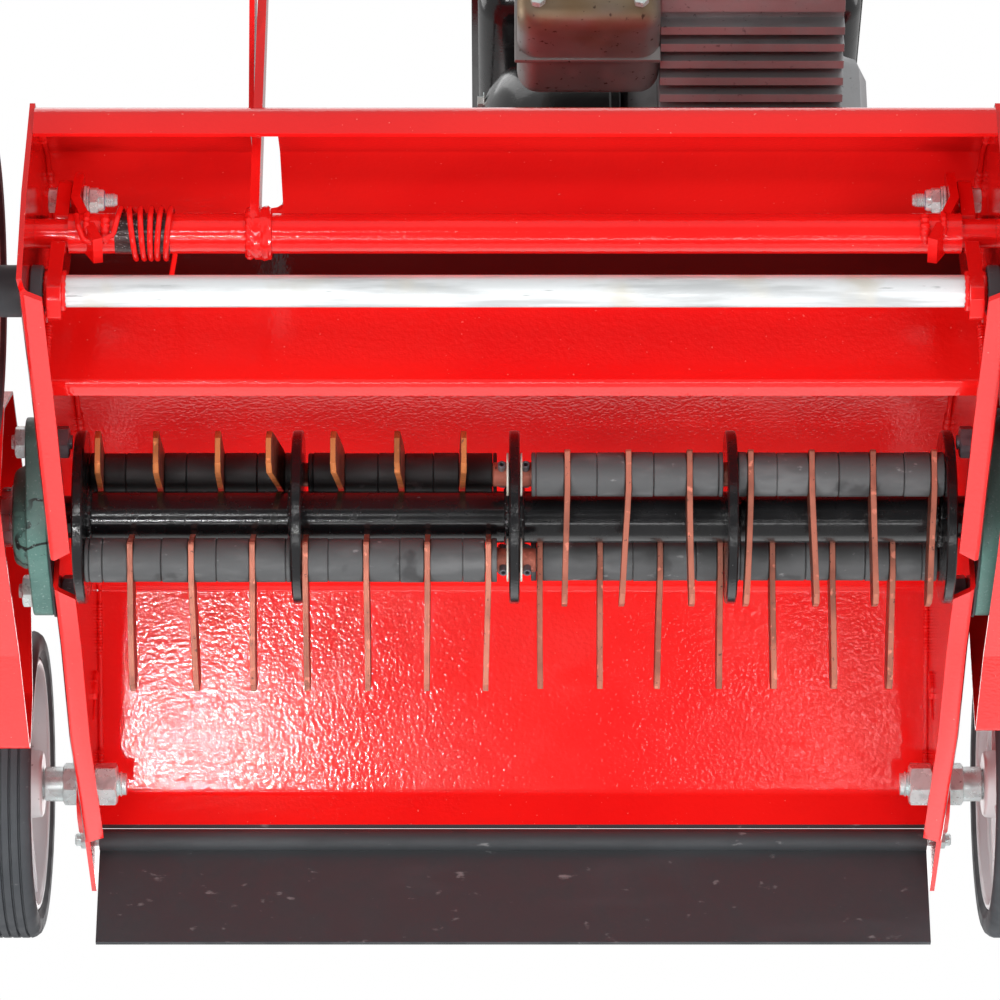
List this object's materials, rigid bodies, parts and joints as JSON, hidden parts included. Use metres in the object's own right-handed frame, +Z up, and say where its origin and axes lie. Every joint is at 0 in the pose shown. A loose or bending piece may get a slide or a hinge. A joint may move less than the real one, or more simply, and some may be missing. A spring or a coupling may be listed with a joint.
{
  "type": "lawn scarifier",
  "caption": "Walk-behind lawn scarifier with a flail rotor in a folded steel housing, height lever, belt drive, engine and folding handlebar.",
  "frame": {"origin": "on the ground under the middle of the machine's overall box", "axes": "+Z up, -Y is the way the machine faces, +X is the belt side, right as seen from the front"},
  "size_m": [0.696, 1.357, 0.9576],
  "materials": {
    "red_sheet": "gloss powder coat, red",
    "gloss_black": "gloss black paint",
    "black_trim": "moulded, gloss black",
    "copper_coat": "copper coloured hardened steel",
    "zinc": "bright zinc plating",
    "rubber": "black rubber",
    "tyre": "solid black tyre",
    "grey_plastic": "matt dark grey plastic",
    "cast_green": "green painted casting",
    "silver_rim": "silver grey moulded rim",
    "aluminium": "die cast"
  },
  "bodies": {
    "chassis": {"deck": "red_sheet", "side_plate_left": "red_sheet", "side_plate_right": "red_sheet", "rear_wheel_bolt_left": "zinc", "rear_wheel_bolt_right": "zinc", "bearing_left": "cast_green", "bearing_right": "cast_green", "side_guard": "red_sheet", "belt_guard": "red_sheet", "engine_block": "aluminium", "fan_shroud": "black_trim", "fuel_tank": "black_trim", "air_cleaner": "black_trim", "muffler": "zinc", "lower_handlebar": "gloss_black", "fold_knob_left": "grey_plastic", "fold_knob_right": "grey_plastic", "flap_rod": "zinc", "drive_belt": "rubber"},
    "rotor": {"rotor_shaft": "gloss_black", "flail_rod_left_lower": "copper_coat", "flail_rod_left_upper": "copper_coat", "flail_rod_right_lower": "copper_coat", "flail_rod_right_upper": "copper_coat", "rotor_pulley": "aluminium"},
    "crankshaft": {"engine_pulley": "aluminium"},
    "idler": {"idler_arm": "zinc"},
    "idler_wheel": {"idler_pulley": "grey_plastic"},
    "lift": {"lift_tube": "red_sheet", "lever_knob": "grey_plastic", "torsion_spring": "red_sheet", "link_bolt_left": "zinc", "link_bolt_right": "zinc"},
    "front_link": {"front_axle": "zinc", "axle_bush_left": "grey_plastic", "axle_bush_right": "grey_plastic"},
    "front_wheel_left": {"front_wheel_left_tyre": "tyre", "front_wheel_left_rim": "silver_rim"},
    "front_wheel_right": {"front_wheel_right_tyre": "tyre", "front_wheel_right_rim": "silver_rim"},
    "rear_wheel_left": {"rear_wheel_left_tyre": "tyre", "rear_wheel_left_rim": "silver_rim"},
    "rear_wheel_right": {"rear_wheel_right_tyre": "tyre", "rear_wheel_right_rim": "silver_rim"},
    "flap": {"rubber_flap": "rubber"},
    "upper_bar": {"upper_handlebar": "gloss_black", "handle_grip_left": "rubber", "handle_grip_right": "rubber"},
    "bail": {"clutch_bail": "zinc"},
    "throttle": {"throttle_lever": "black_trim"},
    "tank_cap": {"fuel_cap": "black_trim"},
    "recoil_grip": {"recoil_handle": "black_trim"},
    "left_lower_inner_bank": {"flails_left_lower_inner": "copper_coat"},
    "left_lower_outer_bank": {"flails_left_lower_outer": "copper_coat"},
    "left_upper_inner_bank": {"flails_left_upper_inner": "copper_coat"},
    "left_upper_outer_bank": {"flails_left_upper_outer": "copper_coat"},
    "right_lower_inner_bank": {"flails_right_lower_inner": "copper_coat"},
    "right_lower_outer_bank": {"flails_right_lower_outer": "copper_coat"},
    "right_upper_inner_bank": {"flails_right_upper_inner": "copper_coat"},
    "right_upper_outer_bank": {"flails_right_upper_outer": "copper_coat"}
  },
  "joints": [
    {"name": "depth_lift", "type": "hinge", "parent": "chassis", "child": "lift", "pos_m": [0, -0.57294, 0.142], "axis": [-1, 0, 0], "range_deg": [0, 28], "deforming": ["torsion_spring"]},
    {"name": "link_fold", "type": "hinge", "parent": "lift", "child": "front_link", "pos_m": [0, -0.55091, 0.18078], "axis": [-1, 0, 0], "range_deg": [-18, 2]},
    {"name": "front_left_spin", "type": "hinge", "parent": "front_link", "child": "front_wheel_left", "pos_m": [-0.307, -0.58154, 0.097], "axis": [1, 0, 0], "continuous": true},
    {"name": "front_right_spin", "type": "hinge", "parent": "front_link", "child": "front_wheel_right", "pos_m": [0.307, -0.58154, 0.097], "axis": [1, 0, 0], "continuous": true},
    {"name": "rear_left_spin", "type": "hinge", "parent": "chassis", "child": "rear_wheel_left", "pos_m": [-0.318, -0.03994, 0.097], "axis": [1, 0, 0], "continuous": true},
    {"name": "rear_right_spin", "type": "hinge", "parent": "chassis", "child": "rear_wheel_right", "pos_m": [0.318, -0.03994, 0.097], "axis": [1, 0, 0], "continuous": true},
    {"name": "rotor_spin", "type": "hinge", "parent": "chassis", "child": "rotor", "pos_m": [0, -0.35594, 0.095], "axis": [1, 0, 0], "continuous": true},
    {"name": "engine_spin", "type": "hinge", "parent": "chassis", "child": "crankshaft", "pos_m": [0.309, -0.32594, 0.327], "axis": [1, 0, 0], "continuous": true},
    {"name": "left_lower_inner_swing", "type": "hinge", "parent": "rotor", "child": "left_lower_inner_bank", "pos_m": [-0.06523, -0.36328, 0.06078], "axis": [1, 0, 0], "range_deg": [-184, 71.8]},
    {"name": "left_lower_outer_swing", "type": "hinge", "parent": "rotor", "child": "left_lower_outer_bank", "pos_m": [-0.1884, -0.36328, 0.06078], "axis": [1, 0, 0], "range_deg": [-184, 71.8]},
    {"name": "left_upper_inner_swing", "type": "hinge", "parent": "rotor", "child": "left_upper_inner_bank", "pos_m": [-0.06523, -0.3486, 0.12922], "axis": [1, 0, 0], "range_deg": [-252.6, 3.2]},
    {"name": "left_upper_outer_swing", "type": "hinge", "parent": "rotor", "child": "left_upper_outer_bank", "pos_m": [-0.1884, -0.3486, 0.12922], "axis": [1, 0, 0], "range_deg": [-252.6, 3.2]},
    {"name": "right_upper_inner_swing", "type": "hinge", "parent": "rotor", "child": "right_upper_inner_bank", "pos_m": [0.06523, -0.39016, 0.10234], "axis": [1, 0, 0], "range_deg": [-255.4, 0.4]},
    {"name": "right_upper_outer_swing", "type": "hinge", "parent": "rotor", "child": "right_upper_outer_bank", "pos_m": [0.1884, -0.39016, 0.10234], "axis": [1, 0, 0], "range_deg": [-255.4, 0.4]},
    {"name": "right_lower_inner_swing", "type": "hinge", "parent": "rotor", "child": "right_lower_inner_bank", "pos_m": [0.06523, -0.32172, 0.08766], "axis": [1, 0, 0], "range_deg": [-82.9, 172.9]},
    {"name": "right_lower_outer_swing", "type": "hinge", "parent": "rotor", "child": "right_lower_outer_bank", "pos_m": [0.1884, -0.32172, 0.08766], "axis": [1, 0, 0], "range_deg": [-82.9, 172.9]},
    {"name": "idler_swing", "type": "hinge", "parent": "chassis", "child": "idler", "pos_m": [0.309, -0.27194, 0.267], "axis": [-1, 0, 0], "range_deg": [0, 4.5]},
    {"name": "idler_spin", "type": "hinge", "parent": "idler", "child": "idler_wheel", "pos_m": [0.309, -0.27501, 0.22], "axis": [1, 0, 0], "continuous": true},
    {"name": "flap_swing", "type": "hinge", "parent": "chassis", "child": "flap", "pos_m": [0, 0.00006, 0.079], "axis": [1, 0, 0], "range_deg": [-12, 75]},
    {"name": "handlebar_fold", "type": "hinge", "parent": "chassis", "child": "upper_bar", "pos_m": [0, 0.15003, 0.57474], "axis": [1, 0, 0], "range_deg": [0, 120]},
    {"name": "bail_squeeze", "type": "hinge", "parent": "upper_bar", "child": "bail", "pos_m": [0, 0.48888, 0.83947], "axis": [-1, 0, 0], "range_deg": [0, 22], "stiffness_Nm_per_rad": 1.2, "springref_deg": -34.38},
    {"name": "throttle_turn", "type": "hinge", "parent": "upper_bar", "child": "throttle", "pos_m": [0.2048, 0.46524, 0.821], "axis": [1, 0, 0], "range_deg": [-32, 32]},
    {"name": "fuel_cap_turn", "type": "hinge", "parent": "chassis", "child": "tank_cap", "pos_m": [0.096, -0.32594, 0.5093], "axis": [0, 0, 1], "range_deg": [0, 90]},
    {"name": "recoil_pull", "type": "slide", "parent": "chassis", "child": "recoil_grip", "axis": [0, 0.7431, 0.6691], "range_m": [0, 0.3], "stiffness_N_per_m": 14, "springref_m": -0.1}
  ],
  "couplings": [
    {"joint": "link_fold", "follows": "depth_lift", "ratio": -0.588},
    {"joint": "engine_spin", "follows": "rotor_spin", "ratio": 0.8421},
    {"joint": "idler_swing", "follows": "bail_squeeze", "ratio": 0.19}
  ]
}
